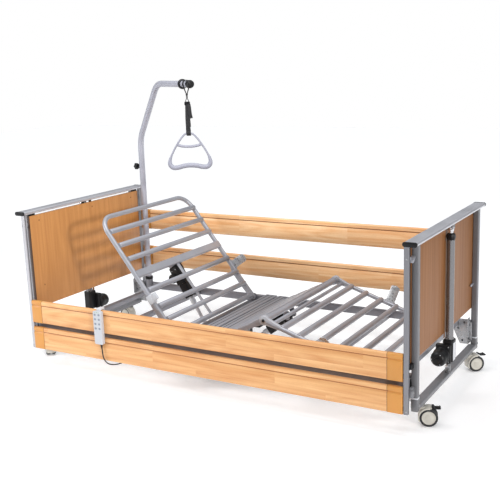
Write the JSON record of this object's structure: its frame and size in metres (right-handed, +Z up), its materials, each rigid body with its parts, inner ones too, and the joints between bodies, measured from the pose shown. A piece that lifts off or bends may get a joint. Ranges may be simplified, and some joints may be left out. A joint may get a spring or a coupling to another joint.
{
  "type": "adjustable hospital bed",
  "caption": "Height-adjustable care bed with wooden end panels, sliding side-rail boards, hinged tube-slat lying surface, lifting pole with handle, castors and handset.",
  "frame": {"origin": "centre of the bounding box on the floor, with the bed at its lowest height", "axes": "+X from the head end to the foot end, +Y towards the far long side, +Z up"},
  "size_m": [2.2847, 1.0332, 1.475],
  "materials": {
    "frame_paint": "silver-grey powder coat",
    "aluminium": "satin anodised",
    "zinc": "zinc plated",
    "panel_laminate": "satin beech laminate, vertical grain",
    "board_wood": "clear-lacquered beech, grain along the board",
    "black_plastic": "fine-textured black",
    "castor_plastic": "light grey-beige moulded",
    "light_plastic": "light grey moulded",
    "webbing": "black woven webbing",
    "handset_plastic": "pale grey moulded",
    "button_plastic": "grey membrane keys",
    "cord_rubber": "black jacket"
  },
  "bodies": {
    "frame": {"deck_frame": "frame_paint", "head_panel": "panel_laminate", "foot_panel": "panel_laminate", "head_top_rail": "aluminium", "foot_top_rail": "aluminium", "head_post_near": "frame_paint", "head_post_far": "frame_paint", "foot_post_near": "frame_paint", "foot_post_far": "frame_paint", "head_guide_near": "aluminium", "head_guide_far": "aluminium", "foot_guide_near": "aluminium", "foot_guide_far": "aluminium", "head_lift_rod": "zinc", "foot_lift_rod": "zinc", "control_box": "black_plastic", "handset_cord": "cord_rubber"},
    "head_base": {"head_base": "frame_paint", "head_lift_drive": "black_plastic"},
    "foot_base": {"foot_base": "frame_paint", "foot_lift_drive": "black_plastic"},
    "back": {"back_frame": "frame_paint", "back_retainer_near": "zinc", "back_retainer_far": "zinc"},
    "thigh": {"thigh_frame": "frame_paint"},
    "leg": {"leg_frame": "frame_paint", "leg_retainer_far": "zinc"},
    "back_drive": {"back_drive": "black_plastic"},
    "back_drive_rod": {"back_drive_rod": "light_plastic"},
    "thigh_drive": {"thigh_drive": "black_plastic"},
    "thigh_drive_rod": {"thigh_drive_rod": "light_plastic"},
    "near_upper_board": {"near_upper_board": "board_wood", "handset": "handset_plastic"},
    "near_lower_board": {"near_lower_board": "board_wood"},
    "far_upper_board": {"far_upper_board": "board_wood"},
    "far_lower_board": {"far_lower_board": "board_wood"},
    "pole": {"lifting_pole": "frame_paint"},
    "pole_knob": {"pole_knob": "black_plastic"},
    "strap": {"handle_strap": "webbing"},
    "handle": {"trapeze_handle": "light_plastic"},
    "foot_castor_near": {"foot_castor_near": "castor_plastic"},
    "foot_wheels_near": {"foot_wheels_near": "castor_plastic"},
    "foot_brake_pedal_near": {"foot_brake_pedal_near": "black_plastic"},
    "foot_castor_far": {"foot_castor_far": "castor_plastic"},
    "foot_wheels_far": {"foot_wheels_far": "castor_plastic"},
    "foot_brake_pedal_far": {"foot_brake_pedal_far": "black_plastic"},
    "head_castor_near": {"head_castor_near": "castor_plastic"},
    "head_wheels_near": {"head_wheels_near": "castor_plastic"},
    "head_brake_pedal_near": {"head_brake_pedal_near": "black_plastic"},
    "head_castor_far": {"head_castor_far": "castor_plastic"},
    "head_wheels_far": {"head_wheels_far": "castor_plastic"},
    "head_brake_pedal_far": {"head_brake_pedal_far": "black_plastic"},
    "handset_button_1a": {"handset_button_1a": "button_plastic"},
    "handset_button_1b": {"handset_button_1b": "button_plastic"},
    "handset_button_2a": {"handset_button_2a": "button_plastic"},
    "handset_button_2b": {"handset_button_2b": "button_plastic"},
    "handset_button_3a": {"handset_button_3a": "button_plastic"},
    "handset_button_3b": {"handset_button_3b": "button_plastic"},
    "handset_button_4a": {"handset_button_4a": "button_plastic"},
    "handset_button_4b": {"handset_button_4b": "button_plastic"}
  },
  "joints": [
    {"name": "head_lift", "type": "slide", "parent": "head_base", "child": "frame", "axis": [0, 0, 1], "range_m": [0, 0.4]},
    {"name": "foot_lift", "type": "slide", "parent": "frame", "child": "foot_base", "axis": [0, 0, -1], "range_m": [0, 0.4]},
    {"name": "foot_castor_near_swivel", "type": "hinge", "parent": "foot_base", "child": "foot_castor_near", "pos_m": [1.063, -0.358, 0.09], "axis": [0, 0, 1], "continuous": true},
    {"name": "foot_wheels_near_spin", "type": "hinge", "parent": "foot_castor_near", "child": "foot_wheels_near", "pos_m": [1.09119, -0.34774, 0.04], "axis": [-0.342, 0.9397, 0], "continuous": true},
    {"name": "foot_brake_pedal_near_press", "type": "hinge", "parent": "foot_castor_near", "child": "foot_brake_pedal_near", "pos_m": [1.10247, -0.34364, 0.084], "axis": [-0.342, 0.9397, 0], "range_deg": [0, 12]},
    {"name": "foot_castor_far_swivel", "type": "hinge", "parent": "foot_base", "child": "foot_castor_far", "pos_m": [1.063, 0.358, 0.09], "axis": [0, 0, 1], "continuous": true},
    {"name": "foot_wheels_far_spin", "type": "hinge", "parent": "foot_castor_far", "child": "foot_wheels_far", "pos_m": [1.08598, 0.37728, 0.04], "axis": [-0.6428, 0.766, 0], "continuous": true},
    {"name": "foot_brake_pedal_far_press", "type": "hinge", "parent": "foot_castor_far", "child": "foot_brake_pedal_far", "pos_m": [1.09517, 0.385, 0.084], "axis": [-0.6428, 0.766, 0], "range_deg": [0, 12]},
    {"name": "head_castor_near_swivel", "type": "hinge", "parent": "head_base", "child": "head_castor_near", "pos_m": [-1.063, -0.358, 0.09], "axis": [0, 0, 1], "continuous": true},
    {"name": "head_wheels_near_spin", "type": "hinge", "parent": "head_castor_near", "child": "head_wheels_near", "pos_m": [-1.08664, -0.33953, 0.04], "axis": [-0.6157, -0.788, 0], "continuous": true},
    {"name": "head_brake_pedal_near_press", "type": "hinge", "parent": "head_castor_near", "child": "head_brake_pedal_near", "pos_m": [-1.0961, -0.33214, 0.084], "axis": [-0.6157, -0.788, 0], "range_deg": [0, 12]},
    {"name": "head_castor_far_swivel", "type": "hinge", "parent": "head_base", "child": "head_castor_far", "pos_m": [-1.063, 0.358, 0.09], "axis": [0, 0, 1], "continuous": true},
    {"name": "head_wheels_far_spin", "type": "hinge", "parent": "head_castor_far", "child": "head_wheels_far", "pos_m": [-1.09271, 0.36218, 0.04], "axis": [-0.1392, -0.9903, 0], "continuous": true},
    {"name": "head_brake_pedal_far_press", "type": "hinge", "parent": "head_castor_far", "child": "head_brake_pedal_far", "pos_m": [-1.10459, 0.36385, 0.084], "axis": [-0.1392, -0.9903, 0], "range_deg": [0, 12]},
    {"name": "back_raise", "type": "hinge", "parent": "frame", "child": "back", "pos_m": [-0.195, 0, 0.24], "axis": [0, 1, 0], "range_deg": [-52.4, 17.6]},
    {"name": "thigh_raise", "type": "hinge", "parent": "frame", "child": "thigh", "pos_m": [0.015, 0, 0.238], "axis": [0, -1, 0], "range_deg": [-26, 14]},
    {"name": "leg_fold", "type": "hinge", "parent": "thigh", "child": "leg", "pos_m": [0.32239, 0, 0.38792], "axis": [0, -1, 0], "range_deg": [-24.5, 45]},
    {"name": "back_drive_pivot", "type": "hinge", "parent": "back", "child": "back_drive", "pos_m": [-0.4539, 0, 0.4975], "axis": [0, -1, 0], "range_deg": [-8, 4]},
    {"name": "back_drive_stroke", "type": "slide", "parent": "back_drive", "child": "back_drive_rod", "axis": [0.498, 0, -0.8672], "range_m": [-0.103, 0.036]},
    {"name": "thigh_drive_pivot", "type": "hinge", "parent": "thigh", "child": "thigh_drive", "pos_m": [0.2499, 0, 0.2902], "axis": [0, -1, 0], "range_deg": [-5, 8]},
    {"name": "thigh_drive_stroke", "type": "slide", "parent": "thigh_drive", "child": "thigh_drive_rod", "axis": [-0.8111, 0, -0.5849], "range_m": [-0.047, 0.026]},
    {"name": "near_rail_upper", "type": "slide", "parent": "frame", "child": "near_upper_board", "axis": [0, 0, 1], "range_m": [0, 0.324]},
    {"name": "near_rail_lower", "type": "slide", "parent": "frame", "child": "near_lower_board", "axis": [0, 0, 1], "range_m": [0, 0.24]},
    {"name": "far_rail_upper", "type": "slide", "parent": "frame", "child": "far_upper_board", "axis": [0, 0, 1], "range_m": [-0.324, 0]},
    {"name": "far_rail_lower", "type": "slide", "parent": "frame", "child": "far_lower_board", "axis": [0, 0, 1], "range_m": [-0.24, 0]},
    {"name": "pole_turn", "type": "hinge", "parent": "frame", "child": "pole", "pos_m": [-0.965, 0.437, 0.24], "axis": [0, 0, 1], "range_deg": [-50, 25]},
    {"name": "pole_knob_turn", "type": "hinge", "parent": "pole", "child": "pole_knob", "pos_m": [-1, 0.437, 0.957], "axis": [-1, 0, 0], "range_deg": [0, 180]},
    {"name": "strap_swing", "type": "hinge", "parent": "pole", "child": "strap", "pos_m": [-0.3839, 0.1015, 1.448], "axis": [0.866, -0.5, 0], "range_deg": [-30, 30]},
    {"name": "handle_swing", "type": "hinge", "parent": "strap", "child": "handle", "pos_m": [-0.3839, 0.1015, 1.209], "axis": [0.866, 0.5, 0], "range_deg": [-45, 45]},
    {"name": "handset_button_1a_press", "type": "slide", "parent": "near_upper_board", "child": "handset_button_1a", "axis": [0, 1, 0], "range_m": [0, 0.0015], "stiffness_N_per_m": 350},
    {"name": "handset_button_1b_press", "type": "slide", "parent": "near_upper_board", "child": "handset_button_1b", "axis": [0, 1, 0], "range_m": [0, 0.0015], "stiffness_N_per_m": 350},
    {"name": "handset_button_2a_press", "type": "slide", "parent": "near_upper_board", "child": "handset_button_2a", "axis": [0, 1, 0], "range_m": [0, 0.0015], "stiffness_N_per_m": 350},
    {"name": "handset_button_2b_press", "type": "slide", "parent": "near_upper_board", "child": "handset_button_2b", "axis": [0, 1, 0], "range_m": [0, 0.0015], "stiffness_N_per_m": 350},
    {"name": "handset_button_3a_press", "type": "slide", "parent": "near_upper_board", "child": "handset_button_3a", "axis": [0, 1, 0], "range_m": [0, 0.0015], "stiffness_N_per_m": 350},
    {"name": "handset_button_3b_press", "type": "slide", "parent": "near_upper_board", "child": "handset_button_3b", "axis": [0, 1, 0], "range_m": [0, 0.0015], "stiffness_N_per_m": 350},
    {"name": "handset_button_4a_press", "type": "slide", "parent": "near_upper_board", "child": "handset_button_4a", "axis": [0, 1, 0], "range_m": [0, 0.0015], "stiffness_N_per_m": 350},
    {"name": "handset_button_4b_press", "type": "slide", "parent": "near_upper_board", "child": "handset_button_4b", "axis": [0, 1, 0], "range_m": [0, 0.0015], "stiffness_N_per_m": 350}
  ],
  "couplings": [
    {"joint": "foot_lift", "follows": "head_lift", "ratio": 1},
    {"joint": "leg_fold", "follows": "thigh_raise", "ratio": -1.7038},
    {"joint": "back_drive_pivot", "follows": "back_raise", "ratio": 0.1208},
    {"joint": "back_drive_stroke", "follows": "back_raise", "m_per_rad": 0.10959},
    {"joint": "thigh_drive_pivot", "follows": "thigh_raise", "ratio": -0.2669},
    {"joint": "thigh_drive_stroke", "follows": "thigh_raise", "m_per_rad": 0.10095},
    {"joint": "near_rail_lower", "follows": "near_rail_upper", "ratio": 0.7377},
    {"joint": "far_rail_lower", "follows": "far_rail_upper", "ratio": 0.7377}
  ]
}
